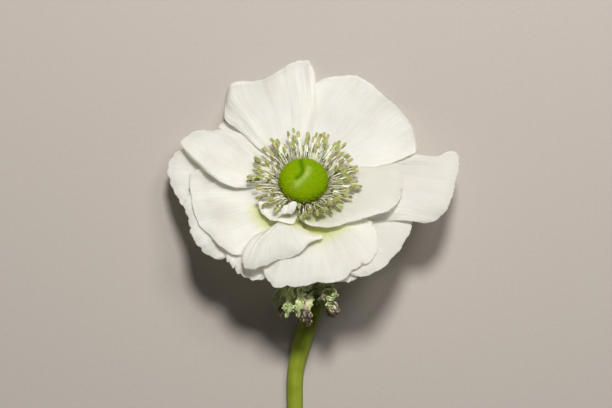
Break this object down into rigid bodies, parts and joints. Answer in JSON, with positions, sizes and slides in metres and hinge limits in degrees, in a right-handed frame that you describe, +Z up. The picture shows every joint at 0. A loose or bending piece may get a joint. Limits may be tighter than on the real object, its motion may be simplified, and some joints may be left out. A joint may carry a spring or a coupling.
{
  "type": "anemone flower",
  "caption": "Cut white anemone flower lying face up: wide-open layered petals round a green centre and a ring of stamens, a collar of cut leaves and a bent stem.",
  "frame": {"origin": "bottom centre of the whole part, on the surface that it lies on", "axes": "+Z up, away from the surface; +Y from the cut end of the stem to the flower; +X to the right seen from above"},
  "size_m": [0.0861, 0.1852, 0.0368],
  "materials": {
    "petal": "soft matt white petal, greenish yellow at its base",
    "centre": "fresh green, finely grained, slightly waxy",
    "stamens": "white filaments and dusty olive-green anthers",
    "stem": "olive green, smooth, softly waxy",
    "bract": "pale to dark green leaf, grey and brown at its withered tips"
  },
  "bodies": {
    "root": {"petal_rear_top_left": "petal", "petal_far_left": "petal", "petal_rear_left": "petal", "petal_rear_lower_left": "petal", "petal_rear_bottom": "petal", "petal_lower_right": "petal", "petal_right": "petal", "petal_top_right": "petal", "petal_bottom": "petal", "petal_lower_left": "petal", "petal_upper_left": "petal", "petal_top_left": "petal", "petal_front": "petal", "petal_inner_right": "petal", "petal_inner_lip": "petal", "centre": "centre", "stamens": "stamens", "stem": "stem", "bract_left": "bract", "bract_top": "bract", "bract_right": "bract"}
  },
  "joints": []
}
